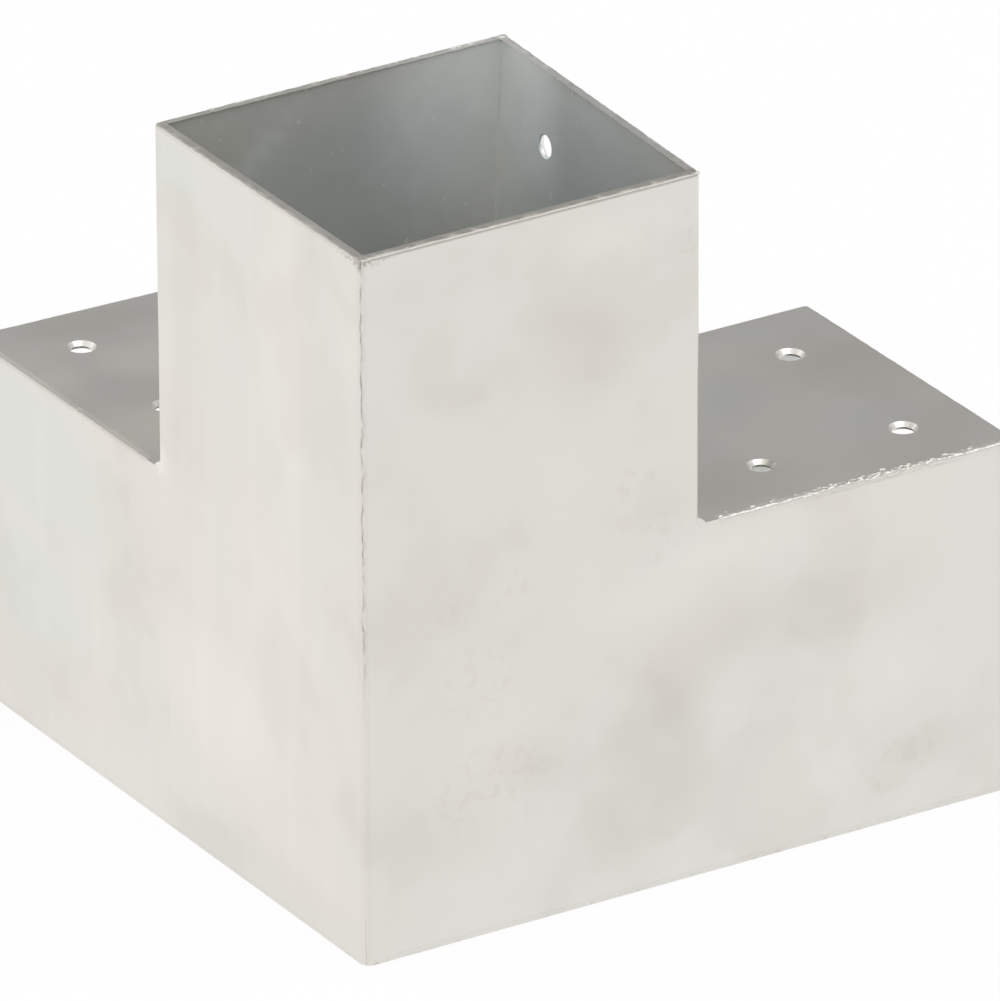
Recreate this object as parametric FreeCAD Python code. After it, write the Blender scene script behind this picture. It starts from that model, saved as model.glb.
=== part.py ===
import FreeCAD, Part
import os

from FreeCAD import Vector

# Three-way connector for square timber: an upright sleeve and two arms that meet in one corner.
# Three folded sheets are welded along the edges where they meet.
# The origin is on the underside, below the upright's axis. The right arm runs along +X,
# the left arm along +Y, and the upright along +Z.

# Driving dimensions in millimetres
post_width = 100.0           # side of the square timber that each sleeve takes
post_play = 1.0              # room around the timber, both sides together
sheet = 2.0                  # thickness of the steel sheet
bend_inside = 0.3            # inside radius of every fold
upright_reach = 100.0        # from the arms' tops to the upright's mouth
arm_reach = 100.0            # from the upright's wall to each arm's mouth
hole_diameter = 6.0          # screw hole
countersink_diameter = 8.4   # at the outer surface, with straight sides at 45 degrees
hole_deburr = 0.4            # broken edge of each hole at the inner surface
hole_from_mouth = 22.0       # first pair of holes, measured from the sleeve's mouth
hole_pitch_along = 45.0      # between the two pairs
hole_from_face = 22.5        # outer row, measured from the connector's outer face
hole_pitch_across = 56.0     # between the two rows
relief_radius = 1.2          # round notch where two folds of one sheet meet
flange_gap = 0.3             # slit between flanges that are folded side by side
tab_length = 5.5             # plain corner of each side face ahead of the arm's top bead
bead_round = 0.8             # rounded outer corner of the beads along the outward edges
seat_leg = 2.0               # leg of the fillet beads in the inward corners
seat_bulge = 0.56            # middle of a fillet bead's face, as a share of its leg

# Sizes that follow from them
outside = post_width + post_play + 2 * sheet
half = outside / 2
bend = bend_inside + sheet
arm_top = outside
arm_mouth = half + arm_reach
upright_mouth = arm_top + upright_reach
near_seam = -half + sheet
far_seam = half - sheet
fold_start = half - bend

X = Vector(1, 0, 0)
Y = Vector(0, 1, 0)
Z = Vector(0, 0, 1)


def plate(corners, through):
    """Flat piece of sheet: the outline through the corners, as thick as the vector."""
    outline = Part.makePolygon(corners + corners[:1])
    return Part.Face(outline).extrude(through)


def block(low, high):
    """Box between two opposite corners."""
    size = high - low
    return Part.makeBox(size.x, size.y, size.z, low)


def arc(centre, start, end, radius):
    """Quarter circle about the centre, from one direction to another."""
    middle = Vector(start + end).normalize()
    return Part.Arc(centre + start * radius, centre + middle * radius, centre + end * radius).toShape()


def line(first, second):
    return Part.LineSegment(first, second).toShape()


def fold(centre, start, end, run):
    """Quarter bend of the sheet about the centre, as long as the run."""
    edges = [
        arc(centre, start, end, bend),
        line(centre + end * bend, centre + end * bend_inside),
        arc(centre, end, start, bend_inside),
        line(centre + start * bend_inside, centre + start * bend),
    ]
    return Part.Face(Part.Wire(edges)).extrude(run)


def corner_bead(centre, start, end, run):
    """Bead that fills the corner between the ends of two sheets, flush with both and rounded outside."""
    flush = sheet - bead_round
    middle = centre + (start + end) * flush
    edges = [
        line(centre, centre + start * sheet),
        line(centre + start * sheet, middle + start * bead_round),
        arc(middle, start, end, bead_round),
        line(middle + end * bead_round, centre + end * sheet),
        line(centre + end * sheet, centre),
    ]
    return Part.Face(Part.Wire(edges)).extrude(run)


def seat_section(first_foot, second_foot, start, end):
    """Section of a fillet bead in an inward corner. Its two feet start where the sheets start."""
    first_toe = first_foot + start * seat_leg
    second_toe = second_foot + end * seat_leg
    middle = (first_foot + second_foot) * 0.5 + (start + end) * seat_leg * seat_bulge
    edges = [
        line(first_foot, first_toe),
        Part.Arc(first_toe, middle, second_toe).toShape(),
        line(second_toe, second_foot),
    ]
    if first_foot != second_foot:
        edges.append(line(second_foot, first_foot))
    return Part.Face(Part.Wire(edges))


def screw_hole(mouth, inward):
    """Countersunk screw hole that starts at the outer surface, with its inner edge broken."""
    shank_radius = hole_diameter / 2
    rim_radius = countersink_diameter / 2
    shank = Part.makeCylinder(shank_radius, sheet, mouth, inward)
    sink = Part.makeCone(rim_radius, shank_radius, rim_radius - shank_radius, mouth, inward)
    inner_edge = mouth + inward * (sheet - hole_deburr)
    deburr = Part.makeCone(shank_radius, shank_radius + hole_deburr, hole_deburr, inner_edge, inward)
    return shank.fuse([sink, deburr])


def screw_holes(corner, from_face, mouth_inward, inward):
    """Two pairs of screw holes, measured from a wall's corner at the outer face and the sleeve's mouth."""
    holes = []
    for across in (hole_from_face, hole_from_face + hole_pitch_across):
        for along in (hole_from_mouth, hole_from_mouth + hole_pitch_along):
            mouth = corner + from_face * across + mouth_inward * along
            holes.append(screw_hole(mouth, inward))
    return holes


def relief(centre, through):
    """Round notch through a sheet where two of its folds meet."""
    return Part.makeCylinder(relief_radius, sheet, centre, through)


def foot_waste():
    """What is ground away along the front bead's two lower edges, in line with the base beads."""
    corner = Vector(-half, -half, 0)
    wastes = []
    for run, side in ((X, Y), (Y, X)):
        edge = block(corner, corner + run * sheet + (side + Z) * bead_round)
        rounded = Part.makeCylinder(bead_round, sheet, corner + (side + Z) * bead_round, run)
        wastes.append(edge.cut(rounded))
    return wastes


def folded_sheet(stretches, cuts):
    """One sheet from its flat stretches and folds, with its holes and notches cut out."""
    joined = stretches[0].fuse(stretches[1:])
    if cuts:
        joined = joined.cut(cuts)
    return joined.removeSplitter()


def mirrored(shape):
    """The same piece on the left arm: X and Y change places."""
    return shape.mirror(Vector(0, 0, 0), X - Y)


def side_sheet(cuts):
    """L-shaped right face, folded back into the upright's wall above the right arm."""
    face = plate(
        [
            Vector(near_seam, -half, sheet),
            Vector(arm_mouth, -half, sheet),
            Vector(arm_mouth, -half, arm_top - sheet),
            Vector(half + tab_length, -half, arm_top - sheet),
            Vector(half + tab_length, -half, arm_top),
            Vector(fold_start, -half, arm_top),
            Vector(fold_start, -half, upright_mouth),
            Vector(near_seam, -half, upright_mouth),
        ],
        Y * sheet,
    )
    side_fold = fold(Vector(fold_start, -fold_start, arm_top), -Y, X, Z * upright_reach)
    wall = block(Vector(far_seam, -fold_start, arm_top), Vector(half, far_seam, upright_mouth))
    return folded_sheet([face, side_fold, wall], cuts)


def base_sheet():
    """Floor of the connector, folded up into each arm's inner wall and over into the arm's top."""
    wall_start = half + flange_gap
    floor = plate(
        [
            Vector(near_seam, near_seam, 0),
            Vector(arm_mouth, near_seam, 0),
            Vector(arm_mouth, fold_start, 0),
            Vector(half, fold_start, 0),
            Vector(half, half, 0),
            Vector(fold_start, half, 0),
            Vector(fold_start, arm_mouth, 0),
            Vector(near_seam, arm_mouth, 0),
        ],
        Z * sheet,
    )
    run = X * (arm_mouth - wall_start)
    low_fold = fold(Vector(wall_start, fold_start, bend), -Z, Y, run)
    wall = block(Vector(wall_start, far_seam, bend), Vector(arm_mouth, half, arm_top - bend))
    top_fold = fold(Vector(wall_start, fold_start, arm_top - bend), Y, Z, run)
    top = block(Vector(far_seam, near_seam, arm_top - sheet), Vector(arm_mouth, fold_start, arm_top))
    arm = [low_fold, wall, top_fold, top]
    holes = screw_holes(Vector(arm_mouth, -half, arm_top), Y, -X, -Z)
    notch = relief(Vector(half, half, 0), Z)
    stretches = [floor] + arm + [mirrored(piece) for piece in arm]
    return folded_sheet(stretches, holes + [mirrored(hole) for hole in holes] + [notch])


def upright_welds():
    """Beads down the connector's outer vertical edge and down the upright's rear edge."""
    foot = Vector(near_seam, near_seam, 0)
    rear = Vector(far_seam, far_seam, arm_top)
    return {
        "front_corner_weld": corner_bead(foot, -X, -Y, Z * upright_mouth).cut(foot_waste()),
        "rear_corner_weld": corner_bead(rear, X, Y, Z * upright_reach),
    }


def inner_corner_weld():
    """Fillet bead down the edge between the two arms' inner walls."""
    first = Vector(half + flange_gap, half, bend)
    second = Vector(half, half + flange_gap, bend)
    return seat_section(first, second, X, Y).extrude(Z * (arm_top - 2 * bend))


def seat_weld():
    """Fillet bead at the foot of the upright's wall, turned round the fold and flush with the right face."""
    foot = Vector(half, -fold_start, arm_top)
    section = seat_section(foot, foot, X, Z)
    straight = section.extrude(Y * 2 * fold_start)
    turned = section.revolve(Vector(fold_start, -fold_start, arm_top), Z, -90)
    proud = block(Vector(fold_start, -arm_mouth, arm_top), Vector(arm_mouth, -half, upright_mouth))
    return straight.fuse(turned.cut(proud)).removeSplitter()


def right_arm_welds():
    """Beads along the right arm's top and bottom edges and at the foot of the upright's wall."""
    top_seam = Vector(half + tab_length, near_seam, arm_top - sheet)
    base_seam = Vector(near_seam, near_seam, sheet)
    return {
        "arm_top_weld": corner_bead(top_seam, -Y, Z, X * (arm_mouth - top_seam.x)),
        "base_weld": corner_bead(base_seam, -Y, -Z, X * (arm_mouth - near_seam)),
        "seat_weld": seat_weld(),
    }


def main():
    nodes = {
        "right_side_sheet": side_sheet(screw_holes(Vector(half, -half, upright_mouth), Y, -Z, -X)),
        "left_side_sheet": mirrored(side_sheet([])),
        "base_sheet": base_sheet(),
        "inner_corner_weld": inner_corner_weld(),
    }
    nodes.update(upright_welds())
    for name, weld in right_arm_welds().items():
        nodes["right_" + name] = weld
        nodes["left_" + name] = mirrored(weld)
    os.makedirs("parts", exist_ok=True)
    for name, shape in nodes.items():
        shape.exportStep(f"parts/{name}.step")
        print(name, "solids", len(shape.Solids), "valid", shape.isValid(), "volume", round(shape.Volume, 2))


main()
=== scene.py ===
import math
import random

import bmesh
import bpy
from mathutils import Matrix, Vector, noise


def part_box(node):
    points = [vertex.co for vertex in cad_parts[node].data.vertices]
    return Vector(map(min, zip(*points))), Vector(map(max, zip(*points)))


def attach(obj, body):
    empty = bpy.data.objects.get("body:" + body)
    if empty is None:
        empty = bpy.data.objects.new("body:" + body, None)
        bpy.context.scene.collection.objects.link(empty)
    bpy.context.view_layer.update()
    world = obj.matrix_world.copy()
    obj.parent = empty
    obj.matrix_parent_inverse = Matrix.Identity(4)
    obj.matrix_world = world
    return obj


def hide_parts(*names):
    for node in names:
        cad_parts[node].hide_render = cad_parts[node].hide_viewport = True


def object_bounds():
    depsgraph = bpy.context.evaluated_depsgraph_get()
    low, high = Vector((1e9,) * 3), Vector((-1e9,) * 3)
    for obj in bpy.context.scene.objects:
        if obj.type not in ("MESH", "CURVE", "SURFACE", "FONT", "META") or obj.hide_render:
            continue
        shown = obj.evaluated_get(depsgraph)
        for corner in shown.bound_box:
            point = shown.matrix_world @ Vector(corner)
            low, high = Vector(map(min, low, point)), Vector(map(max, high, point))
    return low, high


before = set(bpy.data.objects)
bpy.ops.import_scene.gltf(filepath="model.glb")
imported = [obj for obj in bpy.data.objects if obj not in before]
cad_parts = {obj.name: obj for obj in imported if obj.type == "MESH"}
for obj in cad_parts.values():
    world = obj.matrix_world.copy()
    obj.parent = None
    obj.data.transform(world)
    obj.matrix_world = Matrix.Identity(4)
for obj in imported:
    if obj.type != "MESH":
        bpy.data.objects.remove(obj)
cad_low, cad_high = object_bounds()

# Planes of the connector, in metres, read from the frame
MM = 0.001
front_low, front_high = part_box("front_corner_weld")
OUTER = cad_low.x
SHEET = front_high.x - front_low.x
HALF = -OUTER
INNER = HALF - SHEET
MIDDLE = HALF - SHEET / 2
SLEEVE_WIDTH = 2 * HALF
SLEEVE_CENTRE = Vector((0.0, 0.0, HALF))
ARM_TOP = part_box("right_arm_top_weld")[1].z
MOUTH_Z = cad_high.z
UPRIGHT_REACH = MOUTH_Z - ARM_TOP

# Photograph's viewpoint, measured from the connector's bottom front corner in sleeve widths
VIEW_YAW = math.radians(31.631)
VIEW_PITCH = math.radians(24.922)
VIEW_ROLL = math.radians(0.282)
VIEW_DISTANCE = 41.787 * SLEEVE_WIDTH
VIEW_LEFT = 0.3385 * SLEEVE_WIDTH
VIEW_ABOVE = 1.1771 * SLEEVE_WIDTH
FOCAL_PIXELS = 16630.5
IMAGE_LONG_SIDE = 1001.0
SENSOR = 36.0
FAR_CLIP = 100.0


def make_camera():
    ahead = Vector((
        math.sin(VIEW_YAW) * math.cos(VIEW_PITCH),
        math.cos(VIEW_YAW) * math.cos(VIEW_PITCH),
        -math.sin(VIEW_PITCH),
    ))
    level_right = Vector((math.cos(VIEW_YAW), -math.sin(VIEW_YAW), 0.0))
    level_down = ahead.cross(level_right)
    right = math.cos(VIEW_ROLL) * level_right + math.sin(VIEW_ROLL) * level_down
    down = math.cos(VIEW_ROLL) * level_down - math.sin(VIEW_ROLL) * level_right
    place = Vector(cad_low) + right * VIEW_LEFT - down * VIEW_ABOVE - ahead * VIEW_DISTANCE
    data = bpy.data.cameras.new("camera")
    data.sensor_width = SENSOR
    data.lens = FOCAL_PIXELS * SENSOR / IMAGE_LONG_SIDE
    data.clip_end = FAR_CLIP
    camera = bpy.data.objects.new("camera", data)
    turn = Matrix((right, -down, -ahead)).transposed()
    camera.matrix_world = Matrix.Translation(place) @ turn.to_4x4()
    bpy.context.scene.collection.objects.link(camera)
    bpy.context.scene.camera = camera


# Node helpers: sockets in, socket out

def calc(tree, operation, *terms):
    made = tree.nodes.new("ShaderNodeMath")
    made.operation = operation
    for socket, term in zip(made.inputs, terms):
        if isinstance(term, float):
            socket.default_value = term
        else:
            tree.links.new(term, socket)
    return made.outputs[0]


def vector_calc(tree, operation, *terms):
    made = tree.nodes.new("ShaderNodeVectorMath")
    made.operation = operation
    for socket, term in zip(made.inputs, terms):
        if isinstance(term, tuple):
            socket.default_value = term
        else:
            tree.links.new(term, socket)
    return made.outputs["Value" if operation == "DOT_PRODUCT" else "Vector"]


def grain(tree, place, kind):
    """Noise of a kind: scale per metre, octaves, their roughness, and distortion."""
    made = tree.nodes.new("ShaderNodeTexNoise")
    tree.links.new(place, made.inputs["Vector"])
    for setting, value in zip(("Scale", "Detail", "Roughness", "Distortion"), kind):
        made.inputs[setting].default_value = value
    return made.outputs["Fac"]


def spread(tree, value, low, high, to_low=0.0, to_high=1.0):
    made = tree.nodes.new("ShaderNodeMapRange")
    made.interpolation_type = "SMOOTHSTEP"
    tree.links.new(value, made.inputs["Value"])
    made.inputs["From Min"].default_value = low
    made.inputs["From Max"].default_value = high
    made.inputs["To Min"].default_value = to_low
    made.inputs["To Max"].default_value = to_high
    return made.outputs[0]


def tint(tree, factor, first, second, blend="MULTIPLY"):
    """Colour mix. A colour is a socket or a tuple of three numbers."""
    made = tree.nodes.new("ShaderNodeMix")
    made.data_type = "RGBA"
    made.blend_type = blend
    tree.links.new(factor, made.inputs["Factor"])
    colour_sockets = [socket for socket in made.inputs if socket.type == "RGBA"]
    for socket, colour in zip(colour_sockets, (first, second)):
        if isinstance(colour, tuple):
            socket.default_value = (*colour, 1.0)
        else:
            tree.links.new(colour, socket)
    return [socket for socket in made.outputs if socket.type == "RGBA"][0]


# Studio

FLOOR_HALF = 12.0
FLOOR_DROP = 0.2 * MM
FLOOR_WHITE = 0.96
FLOOR_GLOW_SHARE = 0.93


def make_floor():
    mesh = bpy.data.meshes.new("floor")
    corners = [(sx * FLOOR_HALF, sy * FLOOR_HALF, 0) for sx, sy in ((-1, -1), (1, -1), (1, 1), (-1, 1))]
    mesh.from_pydata(corners, [], [(0, 1, 2, 3)])
    floor = bpy.data.objects.new("floor", mesh)
    floor.location.z = cad_low.z - FLOOR_DROP
    bpy.context.scene.collection.objects.link(floor)
    material = bpy.data.materials.new("floor_white")
    material.use_nodes = True
    tree = material.node_tree
    tree.nodes.clear()
    diffuse = tree.nodes.new("ShaderNodeBsdfDiffuse")
    diffuse.inputs["Color"].default_value = (FLOOR_WHITE, FLOOR_WHITE, FLOOR_WHITE, 1.0)
    glow = tree.nodes.new("ShaderNodeEmission")
    path = tree.nodes.new("ShaderNodeLightPath")
    seen = calc(tree, "MAXIMUM", path.outputs["Is Camera Ray"], path.outputs["Is Glossy Ray"])
    seen = calc(tree, "MAXIMUM", seen, path.outputs["Is Transmission Ray"])
    share = calc(tree, "MULTIPLY", seen, FLOOR_GLOW_SHARE)
    mix = tree.nodes.new("ShaderNodeMixShader")
    tree.links.new(share, mix.inputs[0])
    tree.links.new(diffuse.outputs[0], mix.inputs[1])
    tree.links.new(glow.outputs[0], mix.inputs[2])
    out = tree.nodes.new("ShaderNodeOutputMaterial")
    tree.links.new(mix.outputs[0], out.inputs[0])
    mesh.materials.append(material)


WORLD_WHITE = 1.0


def make_world():
    world = bpy.data.worlds.new("studio")
    bpy.context.scene.world = world
    world.use_nodes = True
    sky = world.node_tree.nodes["Background"]
    sky.inputs["Color"].default_value = (WORLD_WHITE, WORLD_WHITE, WORLD_WHITE, 1.0)


CARD_RADIUS = 9.0
CARD_HEIGHT = 9.5
CARD_FOOT = 0.05
CARD_SIDES = 72
CARD_DARK = 0.32
CARD_LIGHT = 0.86
CARD_RIGHT_SHARE = 0.85
CARD_LEFT_SHARE = 1.44
CARD_DARK_FACING = 0.93
CARD_LIGHT_FACING = 0.45


def make_card():
    """Grey wall round the studio, darker behind the connector, so that tops read darker than sides."""
    bm = bmesh.new()
    bmesh.ops.create_cone(
        bm, segments=CARD_SIDES, radius1=CARD_RADIUS, radius2=CARD_RADIUS, depth=CARD_HEIGHT
    )
    mesh = bpy.data.meshes.new("card")
    bm.to_mesh(mesh)
    bm.free()
    card = bpy.data.objects.new("card", mesh)
    card.location.z = CARD_FOOT + CARD_HEIGHT / 2
    card.visible_camera = False
    card.visible_shadow = False
    bpy.context.scene.collection.objects.link(card)
    material = bpy.data.materials.new("card_grey")
    material.use_nodes = True
    tree = material.node_tree
    tree.nodes.clear()
    place = tree.nodes.new("ShaderNodeTexCoord").outputs["Object"]
    behind = (math.sin(VIEW_YAW) / CARD_RADIUS, math.cos(VIEW_YAW) / CARD_RADIUS, 0.0)
    facing = vector_calc(tree, "DOT_PRODUCT", place, behind)
    level = spread(tree, facing, CARD_LIGHT_FACING, CARD_DARK_FACING, CARD_LIGHT, CARD_DARK)
    leftward = (-math.sin(VIEW_YAW) / CARD_RADIUS, math.cos(VIEW_YAW) / CARD_RADIUS, 0.0)
    side = vector_calc(tree, "DOT_PRODUCT", place, leftward)
    level = calc(tree, "MULTIPLY", level, spread(tree, side, -1.0, 1.0, CARD_RIGHT_SHARE, CARD_LEFT_SHARE))
    glow = tree.nodes.new("ShaderNodeEmission")
    tree.links.new(level, glow.inputs["Color"])
    out = tree.nodes.new("ShaderNodeOutputMaterial")
    tree.links.new(glow.outputs[0], out.inputs[0])
    mesh.materials.append(material)


LAMP_PLACE = (0.5, -0.9, 2.4)
LAMP_AIM = (0.0, 0.0, 0.1)
LAMP_SIZE = 1.8
LAMP_POWER = 12.0
LAMP_COLOUR = (0.93, 0.98, 1.0)


def make_lamp():
    data = bpy.data.lights.new("overhead", "AREA")
    data.shape = "SQUARE"
    data.size = LAMP_SIZE
    data.energy = LAMP_POWER
    data.color = LAMP_COLOUR
    lamp = bpy.data.objects.new("overhead", data)
    lamp.location = LAMP_PLACE
    lamp.rotation_euler = (Vector(LAMP_AIM) - Vector(LAMP_PLACE)).to_track_quat("-Z", "Y").to_euler()
    lamp.visible_camera = False
    bpy.context.scene.collection.objects.link(lamp)


# Zinc finish with painted light and shade in places: a tone is a factor on the colour under it

UNCHANGED = (1.0, 1.0, 1.0)
ZINC = (0.766, 0.738, 0.693)
ZINC_COOL = (0.757, 0.741, 0.698)
# Painted light: the whole left face is made lighter
LEFT_FACE_PAINTED_LIGHT = (1.032, 1.022, 1.022)
# Painted cool light on the faces that look into the hollows
INSIDE_PAINTED_COOL_CAST = (0.985, 1.02, 1.045)
INSIDE_STAIN = (0.955, 0.955, 0.95)
INSIDE_DULLING = 0.25
SOIL_DULLING = 0.12
# Darkening for dirt, grit and nicks, and painted shade on the lips, the front groove and the left top edge
SOIL_AND_SHADE = (0.60, 0.59, 0.565)
CLOUD = (0.968, 0.965, 0.960)
STREAK = (1.02, 1.02, 1.02)
SPECK = (0.965, 0.961, 0.953)
# Painted glints: bright specks in the hollows
PAINTED_GLINT = (1.16, 1.16, 1.15)
DARK = (0.952, 0.946, 0.936)
DIM = (0.972, 0.968, 0.962)
LIGHT = (1.028, 1.028, 1.026)
CREAM = (1.045, 1.04, 1.032)
OLIVE = (0.962, 0.972, 0.960)
TEAL = (0.955, 1.0, 0.992)
RUST = (0.992, 0.984, 0.975)
# Painted light and shade: tones for the inner walls and one bright spot on the left face
PALE_PAINTED_LIGHT = (1.13, 1.13, 1.13)
PAINTED_SKYLIGHT = (1.27, 1.28, 1.31)
PAINTED_DUSK_SHADE = (0.91, 0.875, 0.845)
PAINTED_BLUISH_LIGHT = (0.975, 1.0, 1.04)
PAINTED_WARM_LIGHT = (1.0, 0.985, 0.95)
TOP_COOL = (0.985, 1.01, 1.02)
TOP_BROWN = (0.955, 0.935, 0.925)
TOP_LIGHT = (1.085, 1.08, 1.065)

# Noise kinds: scale per metre, octaves, their roughness, distortion
DRIFT_NOISE = (11.0, 2.0, 0.5, 0.0)
CLOUD_NOISE = (19.0, 3.0, 0.6, 0.0)
STREAK_NOISE = (75.0, 2.0, 0.5, 0.2)
SPECK_NOISE = (230.0, 3.0, 0.55, 0.3)
GLINT_NOISE = (330.0, 2.0, 0.5, 0.3)
BROAD_NOISE = (55.0, 1.0, 0.5, 0.0)
DRAIN_STRETCH = (1.0, 1.0, 0.06)

# Noise values between which each mark of the zinc comes in
DRIFT_RANGE = (0.38, 0.62)
CLOUD_RANGE = (0.50, 0.62)
STREAK_RANGE = (0.5, 0.7)
SPECK_RANGE = (0.51, 0.63)
GLINT_RANGE = (0.69, 0.74)
STAIN_RANGE = (0.42, 0.60)
GRIT_RANGE = (0.48, 0.58)
DULL_RANGE = (0.3, 0.7)

# Marks that each mesh carries for its material
INSIDE_MARK = "inside"
SOIL_AND_SHADE_MARK = "soil_and_shade"
TONE_MARK = "tone_change"
SPECKLED_MARK = "speckled"
GRIT_MARK = "grit"

# Faces that carry patches: the two axes along the face, the axis through it, and its plane
FACES = {
    "right": (0, 2, 1, OUTER),
    "left": (1, 2, 0, OUTER),
    "rear wall": (0, 2, 1, INNER),
    "right wall": (1, 2, 0, INNER),
    "tops": (0, 1, 2, ARM_TOP),
}

# Patches on each face in millimetres, of zinc mottling but for painted light and shade on the inner walls
# and one spot on the left face:
# place on the face's two axes, half length, half width, tilt in degrees, and tone
PATCHES = {
    "right": [
        (-32, 168, 18, 11, 70, DARK),
        (-22, 157, 16, 9, 0, DARK),
        (14, 161, 24, 19, 0, DARK),
        (36, 38, 48, 23, 80, DARK),
        (52, 66, 30, 19, 40, DARK),
        (90, 70, 46, 14, 8, DARK),
        (-26, 33, 19, 16, 20, DIM),
        (-2, 48, 20, 11, 15, DIM),
        (116, 16, 26, 8, 8, DIM),
        (42, 90, 30, 8, 14, LIGHT),
        (80, 95, 36, 8, 3, LIGHT),
        (84, 26, 24, 18, 25, LIGHT),
        (108, 46, 30, 15, 4, LIGHT),
        (20, 194, 30, 10, 0, LIGHT),
    ],
    "left": [
        (-14, 165, 62, 19, 90, CREAM),
        (-4, 72, 60, 28, 90, CREAM),
        (24, 47, 34, 25, 20, CREAM),
        (-45, 182, 26, 9, 90, LIGHT),
        (-4, 8, 70, 13, 0, OLIVE),
        (42, 194, 18, 17, 0, TEAL),
        (38, 182, 15, 12, 0, DARK),
        (108, 82, 64, 30, 10, TEAL),
        (120, 42, 40, 25, 0, TEAL),
        (67, 78, 30, 20, 90, RUST),
        (95, 24, 36, 18, 0, RUST),
        (34, 130, 38, 18, 90, DIM),
        # Painted highlight: a small bright spot near the foot of the upright's rear left fold
        (51, 109.5, 4, 3, 90, PALE_PAINTED_LIGHT),
    ],
    # Painted light and shade on the inner walls: lighter and bluer towards the mouth, darker lower down
    "rear wall": [
        (46, 188, 56, 44, 90, PAINTED_SKYLIGHT),
        (0, 170, 60, 36, 0, PAINTED_BLUISH_LIGHT),
        (-21, 190, 20, 5, 34, PALE_PAINTED_LIGHT),
        (-44, 190, 24, 20, 0, PAINTED_WARM_LIGHT),
        (-15, 124, 70, 36, 0, PAINTED_DUSK_SHADE),
    ],
    # Painted light on this inner wall too: lighter and bluer towards the mouth
    "right wall": [
        (46, 186, 52, 34, 90, PAINTED_SKYLIGHT),
        (0, 175, 60, 40, 0, PAINTED_BLUISH_LIGHT),
    ],
    "tops": [
        (122, -18, 24, 15, 0, TOP_COOL),
        (97, 12, 22, 17, 0, TOP_COOL),
        (129, 43, 24, 11, 0, TOP_COOL),
        (142, 8, 16, 26, 0, TOP_BROWN),
        (73, -36, 30, 17, 0, TOP_BROWN),
        (-46, 78, 20, 24, 0, TOP_LIGHT),
        (-18, 114, 20, 18, 0, TOP_LIGHT),
        (-22, 144, 24, 12, 0, TOP_BROWN),
        (-48, 120, 12, 24, 0, TOP_LIGHT),
    ],
}
PATCH_DEPTH = 1.2 * MM
PATCH_EDGE = 0.65
WOBBLE = 5.5 * MM
WOBBLE_GRAIN = 30.0 * MM
WOBBLE_FINE_GRAIN = 15.0 * MM
WOBBLE_FINE_SHARE = 0.5

# Places where the zinc is speckled, in the same form but for the tone
SPECKLED = {
    "right": [
        (-25, 100, 13, 10, 0),
        (-5, 101, 11, 10, 0),
        (27, 119, 20, 12, 60),
        (40, 102, 12, 10, 0),
        (-16, 74, 20, 15, 0),
        (-12, 44, 30, 17, 10),
        (46, 190, 11, 8, 90),
        (114, 17, 24, 12, 8),
    ],
}


def clamp(value):
    return min(max(value, 0.0), 1.0)


def smooth(value):
    """0 to 1 with level ends."""
    value = clamp(value)
    return value * value * (3.0 - 2.0 * value)


def fade_out(value, band):
    """1 as far as half the band, then down to 0 at its end."""
    return clamp(2.0 - 2.0 * value / band)


def patch_share(first, second, first_middle, second_middle, half_length, half_width, tilt):
    """1 in the middle of an ellipse and 0 outside it, with a soft edge."""
    turn = math.radians(tilt)
    first_off = first - first_middle
    second_off = second - second_middle
    long_off = (first_off * math.cos(turn) + second_off * math.sin(turn)) / half_length
    short_off = (second_off * math.cos(turn) - first_off * math.sin(turn)) / half_width
    return smooth((1.0 - math.hypot(long_off, short_off)) / PATCH_EDGE)


def finish_and_painted_light_marks(point):
    """Change of the colour at a place, as a factor less one, and how speckled it is. The change is zinc
    mottling, but painted light and shade on the inner walls and one painted highlight on the left face.
    """
    coarse = noise.noise_vector(point / WOBBLE_GRAIN)
    fine = noise.noise_vector(point / WOBBLE_FINE_GRAIN)
    uneven = point + WOBBLE * (coarse + WOBBLE_FINE_SHARE * fine)
    tone = UNCHANGED
    speckled = 0.0
    for face, (first_axis, second_axis, through, plane) in FACES.items():
        if abs(point[through] - plane) > PATCH_DEPTH:
            continue
        first = uneven[first_axis] / MM
        second = uneven[second_axis] / MM
        for *patch, patch_tone in PATCHES[face]:
            share = patch_share(first, second, *patch)
            tone = [t * (1.0 + share * (p - 1.0)) for t, p in zip(tone, patch_tone)]
        for patch in SPECKLED.get(face, ()):
            speckled = max(speckled, patch_share(first, second, *patch))
        break
    return Vector(t - 1.0 for t in tone), speckled


def mark_reader(tree, mark, output="Fac"):
    reader = tree.nodes.new("ShaderNodeAttribute")
    reader.attribute_name = mark
    return reader.outputs[output]


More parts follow.
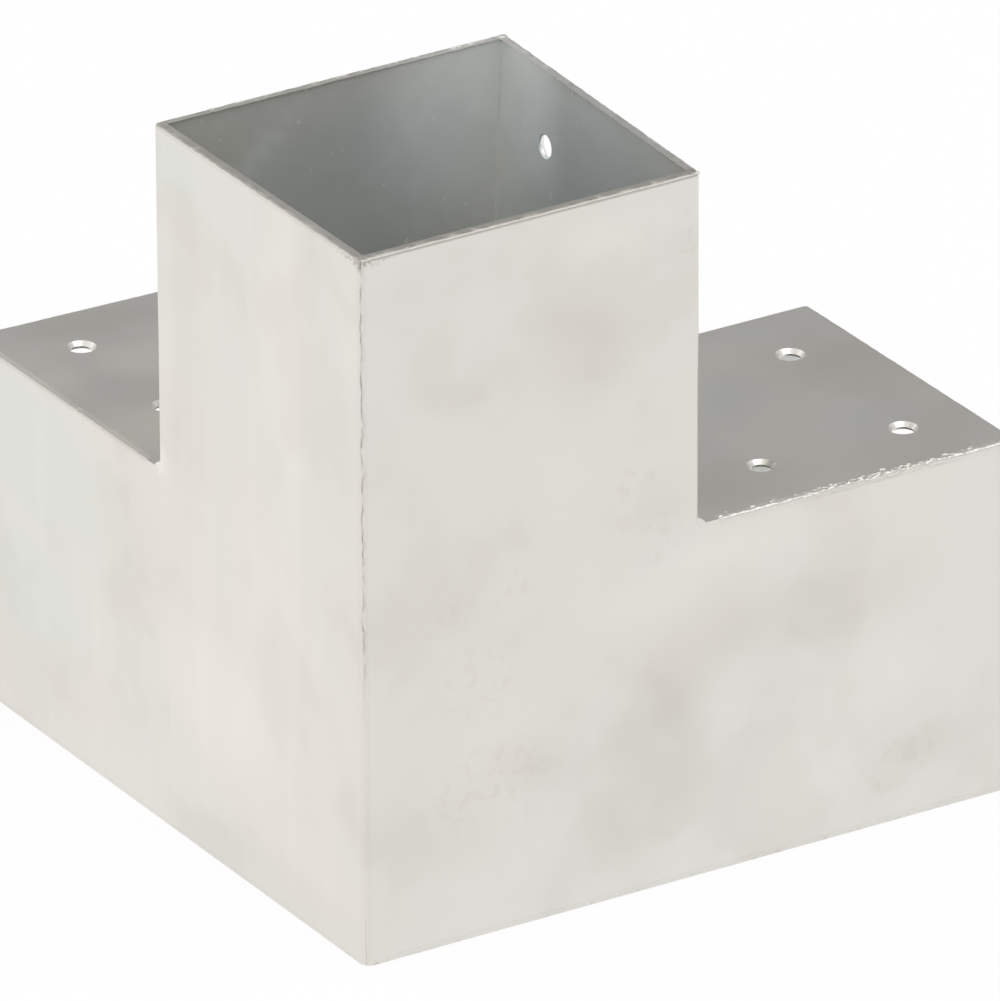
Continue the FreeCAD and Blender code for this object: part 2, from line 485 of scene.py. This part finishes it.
def zinc_and_painted_light_colour(tree, place, mottle, inside, soil_and_shade):
    """Mottled zinc: hue drift, clouds, drain streaks on the left face, patches, specks, and soil with
    painted shade; with painted light too: the left face made lighter, glints and a cool cast in the
    hollows, and light and shade in the inner walls' patches.
    """
    colour = tint(tree, spread(tree, grain(tree, place, DRIFT_NOISE), *DRIFT_RANGE), ZINC, ZINC_COOL, "MIX")
    colour = tint(tree, spread(tree, mottle, *CLOUD_RANGE), colour, CLOUD)
    axes = tree.nodes.new("ShaderNodeSeparateXYZ")
    tree.links.new(place, axes.inputs[0])
    on_left = spread(tree, axes.outputs["X"], OUTER + SHEET / 4, OUTER + SHEET, 1.0, 0.0)
    # Painted light: the whole left face is made lighter
    colour = tint(tree, on_left, colour, LEFT_FACE_PAINTED_LIGHT)
    drained = vector_calc(tree, "MULTIPLY", place, DRAIN_STRETCH)
    streak = spread(tree, grain(tree, drained, STREAK_NOISE), *STREAK_RANGE)
    colour = tint(tree, calc(tree, "MULTIPLY", streak, on_left), colour, STREAK)
    tone = vector_calc(tree, "ADD", mark_reader(tree, TONE_MARK, "Vector"), UNCHANGED)
    colour = vector_calc(tree, "MULTIPLY", colour, tone)
    speck = spread(tree, grain(tree, place, SPECK_NOISE), *SPECK_RANGE)
    colour = tint(tree, calc(tree, "MULTIPLY", speck, mark_reader(tree, SPECKLED_MARK)), colour, SPECK)
    # Painted glints: bright specks only in the hollows
    painted_glint = spread(tree, grain(tree, place, GLINT_NOISE), *GLINT_RANGE)
    colour = tint(tree, calc(tree, "MULTIPLY", painted_glint, inside), colour, PAINTED_GLINT)
    # Painted cool light on the faces that look into the hollows
    colour = tint(tree, inside, colour, INSIDE_PAINTED_COOL_CAST)
    stain = calc(tree, "MULTIPLY", spread(tree, mottle, *STAIN_RANGE), inside)
    colour = tint(tree, stain, colour, INSIDE_STAIN)
    # Darker where soiled: dirt, grit and nicks, and painted shade on the lips, the front groove and the
    # left top edge
    return tint(tree, soil_and_shade, colour, SOIL_AND_SHADE)


SHEET_ROUGHNESS = 0.33
SHEET_RELIEF = 0.02 * MM
SHEET_RELIEF_NOISE = (950.0, 1.0, 0.6, 0.0)
WELD_ROUGHNESS = 0.42
WELD_RELIEF = 0.08 * MM
WELD_RELIEF_NOISE = (1100.0, 1.0, 0.6, 0.0)
RELIEF_STRENGTH = 0.5
BROAD_RELIEF = 4.0
ROUGHNESS_SPREAD = 0.055


def zinc_material(name, roughness, relief_noise, relief_height):
    material = bpy.data.materials.new(name)
    material.use_nodes = True
    tree = material.node_tree
    shader = tree.nodes["Principled BSDF"]
    shader.inputs["Metallic"].default_value = 1.0
    place = tree.nodes.new("ShaderNodeTexCoord").outputs["Object"]
    inside = mark_reader(tree, INSIDE_MARK)
    relief = grain(tree, place, relief_noise)
    grit = calc(tree, "MULTIPLY", spread(tree, relief, *GRIT_RANGE), mark_reader(tree, GRIT_MARK))
    soil_and_shade = calc(tree, "MAXIMUM", mark_reader(tree, SOIL_AND_SHADE_MARK), grit)
    mottle = grain(tree, place, CLOUD_NOISE)
    tree.links.new(zinc_and_painted_light_colour(tree, place, mottle, inside, soil_and_shade), shader.inputs["Base Color"])
    smoothest = roughness - ROUGHNESS_SPREAD
    dullest = roughness + ROUGHNESS_SPREAD
    dull = spread(tree, mottle, *DULL_RANGE, smoothest, dullest)
    dull = calc(tree, "ADD", dull, calc(tree, "MULTIPLY", inside, INSIDE_DULLING))
    dull = calc(tree, "ADD", dull, calc(tree, "MULTIPLY", soil_and_shade, SOIL_DULLING))
    tree.links.new(dull, shader.inputs["Roughness"])
    broad = calc(tree, "MULTIPLY", grain(tree, place, BROAD_NOISE), BROAD_RELIEF)
    bump = tree.nodes.new("ShaderNodeBump")
    bump.inputs["Strength"].default_value = RELIEF_STRENGTH
    bump.inputs["Distance"].default_value = relief_height
    tree.links.new(calc(tree, "ADD", relief, broad), bump.inputs["Height"])
    tree.links.new(bump.outputs[0], shader.inputs["Normal"])
    return material


# Shapes: the weldment is slightly crooked, its mouths are worn and its beads are uneven

REAR_CORNER_LEAN = Vector((5.0 * MM, 1.2 * MM, 0.0))
FRONT_CORNER_DROP = 0.5 * MM
RIGHT_ARM_DROP = 1.5 * MM
FOOT_ROUND = 3.5 * MM
FOOT_RUNOUT = 16.0 * MM
FOOT_CUTS = (2.5 * MM, 3.0 * MM, 3.5 * MM)
FOOT_HEIGHTS = (1 * MM, 4 * MM, 8 * MM, 12 * MM, 16 * MM)
SAME_PLACE = 0.001 * MM
FLAT_ANGLE = math.radians(0.5)
SMOOTH_ANGLE = math.radians(40)
SHEET_GRID = 4 * MM
LOOK_OUT = 5 * MM
RIM_BAND = 3 * MM
RIM_ROUND = 0.85 * MM
RIM_CUTS = (1.8 * MM, 1.2 * MM, 0.85 * MM, 0.45 * MM, 0.2 * MM, 0.06 * MM)
RIM_GRID = 1.0 * MM
RIM_GRAIN = 1.5 * MM
RIM_RAGGED_LOSS = 0.28 * MM
RUB_GRAIN = 2.4 * MM
RUB_DEPTH = 0.2 * MM
RUB_OFFSET = Vector((7 * MM, 3 * MM, 5 * MM))
LIP_START = HALF - 3.5 * MM
LIP_BLEND = 1.5 * MM
CORNER_LOSS = 0.8 * MM
CORNER_REACH = 5.5 * MM
# Painted shade on the lips, most along the front, that holds back their highlight; it also dulls them
LIP_SHADE_FAR = 0.2
LIP_SHADE_LEFT = 0.5
LIP_SHADE_FRONT = 0.75
LIP_BAND = 1.2 * MM
GRIT_BAND = 3.2 * MM
GRIT_PLAIN_BAND = 1.0 * MM
GRIT_REACH = 14 * MM
GRIT_PLAIN_SHARE = 0.25


def ragged(point, size):
    """Noise from 0 to 1 with lumps of about the given size."""
    return 0.5 + 0.5 * noise.noise(point / size)


def patchy(point, size, least, sharpness):
    """The part of that noise above a least value, sharpened, from 0 to 1."""
    return clamp(sharpness * (ragged(point, size) - least))


def hand_made(point):
    """Where a point of the square model lies on the slightly crooked weldment."""
    rightward = clamp((point.x + HALF) / SLEEVE_WIDTH)
    rearward = clamp((point.y + HALF) / SLEEVE_WIDTH)
    above_arms = clamp((point.z - ARM_TOP) / UPRIGHT_REACH)
    arm_share = rightward * min(point.z / ARM_TOP, 1.0) * (1.0 - above_arms)
    front_share = (1.0 - rightward) * (1.0 - rearward) * above_arms
    drop = RIGHT_ARM_DROP * arm_share + FRONT_CORNER_DROP * front_share
    return point + REAR_CORNER_LEAN * rightward * rearward * above_arms - Vector((0.0, 0.0, drop))


def foot_ground(point):
    """Rounds the upright front edge off towards the floor: squares about the corner become circles."""
    radius = FOOT_ROUND * (1.0 - point.z / FOOT_RUNOUT)
    to_left = OUTER + radius - point.x
    to_front = OUTER + radius - point.y
    if min(to_left, to_front) <= 0.0:
        return point
    share = max(to_left, to_front) / math.hypot(to_left, to_front)
    return Vector((OUTER + radius - to_left * share, OUTER + radius - to_front * share, point.z))


def held_in(point):
    """The nearest place inside the solid model's box."""
    return Vector(min(max(p, low), high) for p, low, high in zip(point, cad_low, cad_high))


def lip_pull(depth):
    """How far each side of the sheet is drawn in at a depth below the mouth, where the lip is rounded."""
    if depth >= RIM_ROUND:
        return 0.0
    return RIM_ROUND - math.sqrt(RIM_ROUND ** 2 - (RIM_ROUND - depth) ** 2)


def rim_wear(point):
    """Shift of a place near a sleeve's mouth: the lip is rounded, ragged and rubbed thin in places."""
    shift = Vector()
    for axis in range(3):
        depth = cad_high[axis] - point[axis]
        if depth >= RIM_BAND:
            continue
        share = (1.0 - depth / RIM_BAND) ** 2
        loss = RIM_RAGGED_LOSS * ragged(point, RIM_GRAIN)
        if axis < 2:
            from_corner = HALF - point[1 - axis] + ARM_TOP - point.z
            loss += CORNER_LOSS * clamp(1.0 - from_corner / CORNER_REACH) ** 2
        shift[axis] -= share * loss
        pull = lip_pull(depth) + share * RUB_DEPTH * ragged(point + RUB_OFFSET, RUB_GRAIN)
        thinner = min(pull / (SHEET / 2), 1.0)
        for other in range(3):
            if other != axis:
                off = point[other] - SLEEVE_CENTRE[other]
                in_wall = clamp((abs(off) - LIP_START) / LIP_BLEND)
                shift[other] -= math.copysign(in_wall * thinner * (abs(off) - MIDDLE), off)
    return shift


def rim_shade_and_dulling(point):
    """Painted shade and dulling on the lips, holding back their highlight: most along the front wall and
    least along the far walls.
    """
    depth = min(high - p for high, p in zip(cad_high, point))
    level = LIP_SHADE_FAR
    if point.x < -LIP_START:
        level = LIP_SHADE_LEFT
    if point.y < -LIP_START:
        level = LIP_SHADE_FRONT
    return level * fade_out(depth, LIP_BAND)


def rim_grit_share(point):
    """Grit at the upright's mouth, thickest and deepest about its front corner."""
    from_front = max(point.x - OUTER, point.y - OUTER)
    near_front = clamp(1.0 - from_front / GRIT_REACH)
    band = GRIT_PLAIN_BAND + (GRIT_BAND - GRIT_PLAIN_BAND) * near_front
    share = fade_out(MOUTH_Z - point.z, band)
    return share * (GRIT_PLAIN_SHARE + (1.0 - GRIT_PLAIN_SHARE) * near_front)


def in_sleeve(point):
    """Whether a point of the square model lies in the hollow of the upright or of an arm."""
    in_width = abs(point.y) < INNER
    in_depth = abs(point.x) < INNER
    in_height = SHEET < point.z < ARM_TOP - SHEET
    in_right_arm = in_width and in_height and point.x > -INNER
    in_left_arm = in_depth and in_height and point.y > -INNER
    return (in_width and in_depth and point.z > SHEET) or in_right_arm or in_left_arm


def looks_in(face):
    """Whether a face of the square model looks into a hollow. The near walls' lips do not count."""
    centre = face.calc_center_median()
    on_lip = min(high - c for high, c in zip(cad_high, centre)) < LIP_BAND
    if on_lip and min(centre.x, centre.y) < -LIP_START:
        return False
    return in_sleeve(centre + face.normal * LOOK_OUT)


def solid_mesh(node):
    bm = bmesh.new()
    bm.from_mesh(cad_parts[node].data)
    bmesh.ops.remove_doubles(bm, verts=bm.verts, dist=SAME_PLACE)
    bmesh.ops.dissolve_limit(bm, angle_limit=FLAT_ANGLE, verts=bm.verts, edges=bm.edges)
    return bm


def steps(low, high, step):
    count = max(1, round((high - low) / step))
    return [low + (high - low) * i / count for i in range(1, count)]


def slice_across(bm, faces, axis, places):
    """Cuts faces by planes across an axis."""
    across = Vector()
    across[axis] = 1.0
    geometry = dict.fromkeys(faces)
    for face in faces:
        geometry.update(dict.fromkeys(face.edges))
        geometry.update(dict.fromkeys(face.verts))
    geometry = list(geometry)
    for place in places:
        cut = bmesh.ops.bisect_plane(
            bm, geom=geometry, dist=SAME_PLACE, plane_co=across * place, plane_no=across
        )
        geometry = cut["geom"]


def mouths_of(node):
    """Axes along which a node reaches a sleeve's mouth."""
    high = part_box(node)[1]
    return [axis for axis in range(3) if high[axis] > cad_high[axis] - SAME_PLACE]


def lip_band(bm, axis):
    """Faces of the worn band below a mouth."""
    start = cad_high[axis] - RIM_BAND - SAME_PLACE
    return [face for face in bm.faces if all(vert.co[axis] > start for vert in face.verts)]


def cut_lips(bm, node, grid=None):
    """Cuts a node's ends in planes close below each mouth and, where a grid is given, crosswise too."""
    low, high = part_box(node)
    for axis in mouths_of(node):
        slice_across(bm, bm.faces[:], axis, [cad_high[axis] - RIM_BAND])
        for other in range(3):
            if grid is not None and other != axis:
                slice_across(bm, lip_band(bm, axis), other, steps(low[other], high[other], grid))
        slice_across(bm, lip_band(bm, axis), axis, [cad_high[axis] - depth for depth in RIM_CUTS])


def finish_piece(bm, node, material):
    """Turns a worn mesh into the piece that stands for a node."""
    mesh = bpy.data.meshes.new(node + "_zinc")
    bm.to_mesh(mesh)
    bm.free()
    mesh.attributes.remove(mesh.attributes["custom_normal"])
    mesh.polygons.foreach_set("use_smooth", [True] * len(mesh.polygons))
    mesh.set_sharp_from_angle(angle=SMOOTH_ANGLE)
    mesh.materials.append(material)
    piece = bpy.data.objects.new(node + "_zinc", mesh)
    bpy.context.scene.collection.objects.link(piece)
    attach(piece, "root")
    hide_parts(node)


def wear_and_skew(bm, bead_shift=None, bead_soil_and_shade=None):
    """Moves every point to its place on the worn, crooked weldment and notes its finish, painted light and
    painted shade.
    """
    bm.normal_update()
    soil_and_shade = bm.verts.layers.float.new(SOIL_AND_SHADE_MARK)
    speckled = bm.verts.layers.float.new(SPECKLED_MARK)
    grit = bm.verts.layers.float.new(GRIT_MARK)
    tone = bm.verts.layers.float_vector.new(TONE_MARK)
    inside = bm.faces.layers.float.new(INSIDE_MARK)
    for face in bm.faces:
        face[inside] = float(looks_in(face))
    moved = []
    for vert in bm.verts:
        vert[tone], vert[speckled] = finish_and_painted_light_marks(vert.co)
        vert[grit] = rim_grit_share(vert.co)
        vert[soil_and_shade] = rim_shade_and_dulling(vert.co)
        if bead_soil_and_shade is not None:
            vert[soil_and_shade] = max(vert[soil_and_shade], bead_soil_and_shade(vert.co))
        place = vert.co + rim_wear(vert.co)
        if bead_shift is not None:
            place += bead_shift(vert.co, vert.normal) * foot_fade(vert.co)
        moved.append(hand_made(foot_ground(place)))
    for vert, place in zip(bm.verts, moved):
        vert.co = held_in(place)


def dress_sheet(node, material):
    bm = solid_mesh(node)
    low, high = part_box(node)
    for axis in range(3):
        places = steps(low[axis], high[axis], SHEET_GRID)
        places += FOOT_HEIGHTS if axis == 2 else [OUTER + cut for cut in FOOT_CUTS]
        slice_across(bm, bm.faces[:], axis, places)
    cut_lips(bm, node, RIM_GRID)
    wear_and_skew(bm)
    finish_piece(bm, node, material)


# Weld beads

FACING_LEAST = 0.3
FOOT = Vector(cad_low)
FOOT_PLAIN = 5 * MM
FOOT_FADE = 6 * MM
SEAM_FADE = 0.7 * MM
SEAM_PLAIN_SHARE = 0.5
GROOVE_DEPTH = 0.45 * MM
GROOVE_WIDTH = 0.48 * MM
GROOVE_PLACE = 0.45 * MM
GROOVE_SWAY = 1.3 * MM
GROOVE_LOW = 70 * MM
GROOVE_FULL = 92 * MM
GROOVE_SWAY_GRAIN = 7 * MM
GROOVE_JITTER_GRAIN = 2.1 * MM
GROOVE_JITTER_SHARE = 0.5
GROOVE_BREAK_GRAIN = 4.2 * MM
GROOVE_BREAK_LEAST = 0.2
GROOVE_BREAK_SHARPNESS = 3.0
# Painted shade in the front edge's groove
GROOVE_SHADE = 0.38
STAIN_DEPTH = 2.1 * MM
STAIN_HEIGHT = 1.1 * MM
STAIN_WIDTH = 1.1 * MM
BEAD_PIT = 0.16 * MM
BEAD_PIT_GRAIN = 1.2 * MM
FLUSH_PIT = 0.05 * MM
FLUSH_GRAINS = (1.6 * MM, 6 * MM)
NICK_GRAIN = 1.3 * MM
NICK_LEAST = 0.66
NICK_SHARPNESS = 5.0
NICK_HEIGHT = 1.4 * MM
NICK_SOIL = 0.5
# Painted shade on the left arm's top edge
EDGE_SHADE = 0.42
EDGE_REACH = 0.95 * MM
NOTCH_GRAIN = 2.6 * MM
NOTCH_DEPTH = 0.5 * MM
NOTCH_LEAST = 0.56
TOP_LUMP = 0.5 * MM
LUMP_GRAIN = 2.2 * MM
LUMP_FINE_GRAIN = 0.8 * MM
LUMP_FINE_SHARE = 0.6
TOP_PIT = 0.4 * MM
TOP_PIT_GRAIN = 1.1 * MM
RAG_START = 82 * MM
RAG_END = 140 * MM
RAG_FADE = 12 * MM
RAG_LEAST = 0.3
RAG_SOIL_GRAIN = 1.0 * MM
RAG_SOIL_DEPTH = 0.7 * MM
RAG_SOIL_LEAST = 0.575
RAG_SOIL_SHARPNESS = 4.0
RIPPLE_PITCH = 1.9 * MM
RIPPLE_HEIGHT = 0.09 * MM
RIPPLE_SWAY = 2.4 * MM
RIPPLE_GRAIN = 3 * MM
RIPPLE_PIT_GRAIN = 2.5 * MM
SEAT_PLAIN = 5 * MM
SEAT_FADE = 5 * MM


def foot_fade(point):
    """0 at the bottom front corner, which was ground smooth, and 1 away from it."""
    return clamp(((point - FOOT).length - FOOT_PLAIN) / FOOT_FADE)


def groove_share(point):
    """How much of the front edge's broken groove a place has. It fades out towards the foot."""
    beside = point.x - point.y
    height = Vector((0.0, 0.0, point.z))
    jitter = GROOVE_JITTER_SHARE * noise.noise(height / GROOVE_JITTER_GRAIN)
    sway = noise.noise(height / GROOVE_SWAY_GRAIN) + jitter
    off_groove = (beside - GROOVE_PLACE - GROOVE_SWAY * sway) / GROOVE_WIDTH
    broken = patchy(height, GROOVE_BREAK_GRAIN, GROOVE_BREAK_LEAST, GROOVE_BREAK_SHARPNESS)
    presence = clamp((point.z - GROOVE_LOW) / (GROOVE_FULL - GROOVE_LOW))
    return broken * presence * math.exp(-off_groove * off_groove)


def front_corner_shift(point, normal):
    """Uneven edge with a ragged groove beside it."""
    if -normal.x - normal.y < FACING_LEAST:
        return Vector()
    from_seam = clamp((OUTER + SHEET - max(point.x, point.y)) / SEAM_FADE)
    pit = BEAD_PIT * ragged(point, BEAD_PIT_GRAIN)
    return -normal * (GROOVE_DEPTH * groove_share(point) + pit) * from_seam


def front_corner_shade_and_stain(point):
    """Painted shade in the groove and a dark stain under the mouth."""
    below = (MOUTH_Z - point.z - STAIN_DEPTH) / STAIN_HEIGHT
    beside = (point.x - point.y) / STAIN_WIDTH
    stain = math.exp(-below * below - beside * beside)
    return max(GROOVE_SHADE * groove_share(point), stain)


def rag_share(point):
    """How ragged the right arm's top bead is at a place."""
    middle = clamp((point.x - RAG_START) / RAG_FADE) * clamp((RAG_END - point.x) / RAG_FADE)
    return RAG_LEAST + (1.0 - RAG_LEAST) * middle


def right_top_shift(point, normal):
    """Jagged bead: lumps along its top and pits along its front, most of all in its middle stretch."""
    if normal.z - normal.y < FACING_LEAST:
        return Vector()
    lump = noise.noise(point / LUMP_GRAIN) + LUMP_FINE_SHARE * noise.noise(point / LUMP_FINE_GRAIN)
    up = TOP_LUMP * lump * max(normal.z, 0.0)
    above_seam = clamp((point.z - ARM_TOP + SHEET) / SEAM_FADE - SEAM_PLAIN_SHARE)
    back = TOP_PIT * ragged(point, TOP_PIT_GRAIN) * max(-normal.y, 0.0) * above_seam
    return Vector((0.0, back, up)) * rag_share(point)


def right_top_soil(point):
    """Dirt between the lumps."""
    near_top = clamp((point.z - ARM_TOP + RAG_SOIL_DEPTH) / RAG_SOIL_DEPTH)
    soiled = patchy(point, RAG_SOIL_GRAIN, RAG_SOIL_LEAST, RAG_SOIL_SHARPNESS)
    return near_top * rag_share(point) * soiled


def left_top_shift(point, normal):
    """Bead that was ground nearly flush, with a few notches along its edge."""
    if normal.z - normal.x < FACING_LEAST:
        return Vector()
    along = Vector((0.0, point.y, 0.0))
    notch = NOTCH_DEPTH * max(0.0, ragged(along, NOTCH_GRAIN) - NOTCH_LEAST)
    from_seam = clamp((OUTER + SHEET - point.x) / SEAM_FADE)
    return -normal * (FLUSH_PIT * ragged(point, FLUSH_GRAINS[0]) + notch) * from_seam


def left_top_painted_shade(point):
    """Painted shade along the outer edge of the left arm's top, holding back its highlight; it also dulls
    it.
    """
    from_edge = math.hypot(point.x - OUTER, point.z - ARM_TOP)
    return EDGE_SHADE * fade_out(from_edge, EDGE_REACH)


def plain_edge_shift(point, normal):
    """Shallow unevenness of a bead that was ground flush."""
    return -normal * FLUSH_PIT * sum(ragged(point, size) for size in FLUSH_GRAINS)


def bottom_soil(point):
    """Dark nicks along a bottom edge."""
    share = NICK_SOIL * fade_out(point.z, NICK_HEIGHT)
    return share * patchy(point, NICK_GRAIN, NICK_LEAST, NICK_SHARPNESS)


def ripple_shift(point, normal):
    """Ripples of a fillet bead that was left as welded, but for its end that turns round a fold."""
    along = point.x + point.y + point.z + RIPPLE_SWAY * noise.noise(point / RIPPLE_GRAIN)
    wave = RIPPLE_HEIGHT * math.sin(2 * math.pi * along / RIPPLE_PITCH)
    from_end = clamp((min(point.x, point.y) + HALF - SEAT_PLAIN) / SEAT_FADE)
    return normal * (wave - BEAD_PIT * ragged(point, RIPPLE_PIT_GRAIN)) * from_end


# For each bead: how it is uneven, where it is soiled or painted with shade, and the steps of its mesh along
# and across it
BEADS = {
    "front_corner_weld": (front_corner_shift, front_corner_shade_and_stain, 0.5 * MM, 0.2 * MM),
    "right_arm_top_weld": (right_top_shift, right_top_soil, 0.4 * MM, 0.25 * MM),
    "left_arm_top_weld": (left_top_shift, left_top_painted_shade, 0.5 * MM, 0.25 * MM),
    "rear_corner_weld": (plain_edge_shift, None, 0.8 * MM, 0.4 * MM),
    "right_base_weld": (plain_edge_shift, bottom_soil, 0.6 * MM, 0.4 * MM),
    "left_base_weld": (plain_edge_shift, bottom_soil, 0.6 * MM, 0.4 * MM),
    "right_seat_weld": (ripple_shift, None, 0.45 * MM, 0.4 * MM),
    "left_seat_weld": (ripple_shift, None, 0.45 * MM, 0.4 * MM),
    "inner_corner_weld": (ripple_shift, None, 0.45 * MM, 0.4 * MM),
}


def dress_bead(node, material):
    shift, soil_and_shade, along_step, across_step = BEADS[node]
    bm = solid_mesh(node)
    low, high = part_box(node)
    sides = high - low
    axes = sorted(range(3), key=lambda axis: -sides[axis])
    for axis, step in zip(axes, (along_step, across_step, across_step)):
        slice_across(bm, bm.faces[:], axis, steps(low[axis], high[axis], step))
    cut_lips(bm, node)
    wear_and_skew(bm, shift, soil_and_shade)
    finish_piece(bm, node, material)


# Zinc drops, grit and weld spatter: places of the square model and radii, in millimetres

DROP_SEED = 7
DROP_DENT = 0.22
DROP_DENT_GRAIN = 1.4
DROP_SUBDIVISIONS = 2
mouth_mm = MOUTH_Z / MM
top_mm = ARM_TOP / MM
outer_mm = OUTER / MM
inner_mm = INNER / MM
middle_mm = MIDDLE / MM
RIM_SPOTS = (38.5, 2.0, -15.6, -19.5, 42.3, 9.1, 19.4)
RIM_SPOT_RADII = (1.0, 0.55, 0.5)
RIM_SPOT_SUNK = 0.5

# Single drops: at the mouth's rear and right corners, down the front edge, and where the right bead starts
SINGLE_DROPS = [
    ((middle_mm - 0.4, middle_mm - 0.4, mouth_mm - 0.8), (1.7, 1.4, 0.9)),
    ((middle_mm, -middle_mm, mouth_mm - 0.5), (0.8, 0.6, 0.5)),
    ((outer_mm + 0.55, outer_mm + 0.55, mouth_mm - 5.6), (0.55, 0.55, 1.7)),
    ((58.9, outer_mm + 0.9, top_mm), (1.0, 0.7, 0.6)),
]

# Grit along each side of the mouth: where it starts and ends, how many grains, and the biggest one
GRIT_RUNS = [
    ((-middle_mm, middle_mm), (middle_mm, middle_mm), 46, 0.5),
    ((middle_mm, middle_mm), (middle_mm, -middle_mm), 26, 0.35),
    ((middle_mm, -middle_mm), (-middle_mm, -middle_mm), 34, 0.35),
    ((-middle_mm, -middle_mm), (-middle_mm, middle_mm), 44, 0.35),
]
GRIT_SCATTER = 0.7
GRIT_SUNK = 0.45
GRIT_SUNK_SHARE = 0.3
GRIT_SMALLEST_SHARE = 0.3
GRIT_STRETCH = (0.8, 1.6)
GRIT_FLATNESS = 0.7
SPATTER_COUNT = 30
SPATTER_MIDDLE = 112.0
SPATTER_SPREAD = 22.0
SPATTER_START = 62.0
SPATTER_END = 150.0
SPATTER_BACK = 1.2
SPATTER_FRONT = -0.3
SPATTER_FRONT_PULL = 1.6
SPATTER_SIZES = (0.3, 0.95)
SPATTER_LENGTHS = (0.8, 1.7)
SPATTER_WIDTHS = (0.5, 0.9)
SPATTER_HEIGHTS = (0.2, 0.45)
SEAM_RADII = (0.2, 0.34)
SEAM_LENGTHS = (2.0, 6.0)
SEAM_PITCH = 1.5
SEAM_TOP_GAP = 2.0
# Painted highlight: the seam line's drops are made brighter
SEAM_PAINTED_HIGHLIGHT = Vector((0.4, 0.4, 0.4))


def add_drop(bm, place, radii, tone=Vector()):
    """One drop: a ball stretched to its radii and dented a little, with a change of its colour, which the
    seam line uses as a painted highlight.
    """
    tones = bm.verts.layers.float_vector[TONE_MARK]
    ball = bmesh.ops.create_icosphere(bm, subdivisions=DROP_SUBDIVISIONS, radius=1.0)
    for vert in ball["verts"]:
        vert[tones] = tone
        dent = 1.0 + DROP_DENT * noise.noise(vert.co * DROP_DENT_GRAIN + Vector(place))
        local = Vector(r * c * dent for r, c in zip(radii, vert.co))
        vert.co = held_in(hand_made((Vector(place) + local) * MM))


def rim_grit(bm, rng, start, end, count, biggest):
    """Fine grit along one side of the upright's mouth."""
    for _ in range(count):
        place = Vector((*start, mouth_mm)).lerp(Vector((*end, mouth_mm)), rng.random())
        size = biggest * (GRIT_SMALLEST_SHARE + (1.0 - GRIT_SMALLEST_SHARE) * rng.random() ** 2)
        aside = rng.uniform(-GRIT_SCATTER, GRIT_SCATTER)
        behind = rng.uniform(-GRIT_SCATTER, GRIT_SCATTER)
        place += Vector((aside, behind, -GRIT_SUNK - GRIT_SUNK_SHARE * size))
        length = size * rng.uniform(*GRIT_STRETCH)
        width = size * rng.uniform(*GRIT_STRETCH)
        add_drop(bm, place, (length, width, size * GRIT_FLATNESS))


def bead_spatter(bm, rng):
    """Flat splashes on both sides of the right arm's top bead."""
    for _ in range(SPATTER_COUNT):
        along = min(max(rng.gauss(SPATTER_MIDDLE, SPATTER_SPREAD), SPATTER_START), SPATTER_END)
        backward = rng.random() ** SPATTER_FRONT_PULL
        across = -inner_mm + SPATTER_FRONT + (SPATTER_BACK - SPATTER_FRONT) * backward
        size = rng.uniform(*SPATTER_SIZES)
        length = size * rng.uniform(*SPATTER_LENGTHS)
        width = size * rng.uniform(*SPATTER_WIDTHS)
        height = size * rng.uniform(*SPATTER_HEIGHTS)
        add_drop(bm, (along, across, top_mm), (length, width, height))


def seam_line(bm, rng):
    """Thin uneven line of zinc down the upright's inner rear corner, painted brighter as a highlight."""
    height = mouth_mm - SEAM_TOP_GAP
    while height > top_mm:
        length = rng.uniform(*SEAM_LENGTHS)
        radius = rng.uniform(*SEAM_RADII)
        add_drop(bm, (inner_mm, inner_mm, height - length), (radius, radius, length), SEAM_PAINTED_HIGHLIGHT)
        height -= SEAM_PITCH * length


def make_drops(material):
    bm = bmesh.new()
    bm.verts.layers.float_vector.new(TONE_MARK)
    rng = random.Random(DROP_SEED)
    for run in GRIT_RUNS:
        rim_grit(bm, rng, *run)
    for along in RIM_SPOTS:
        add_drop(bm, (along, middle_mm, mouth_mm - RIM_SPOT_SUNK), RIM_SPOT_RADII)
    for place, radii in SINGLE_DROPS:
        add_drop(bm, place, radii)
    bead_spatter(bm, rng)
    seam_line(bm, rng)
    mesh = bpy.data.meshes.new("zinc_drops")
    bm.to_mesh(mesh)
    bm.free()
    mesh.polygons.foreach_set("use_smooth", [True] * len(mesh.polygons))
    mesh.materials.append(material)
    drops = bpy.data.objects.new("zinc_drops", mesh)
    bpy.context.scene.collection.objects.link(drops)
    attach(drops, "root")


bpy.context.scene.view_settings.view_transform = "Standard"
make_camera()
make_floor()
make_world()
make_card()
make_lamp()
sheet_zinc = zinc_material("galvanised_sheet", SHEET_ROUGHNESS, SHEET_RELIEF_NOISE, SHEET_RELIEF)
weld_zinc = zinc_material("galvanised_weld", WELD_ROUGHNESS, WELD_RELIEF_NOISE, WELD_RELIEF)
for sheet_node in ("right_side_sheet", "left_side_sheet", "base_sheet"):
    dress_sheet(sheet_node, sheet_zinc)
for bead_node in BEADS:
    dress_bead(bead_node, weld_zinc)
make_drops(weld_zinc)
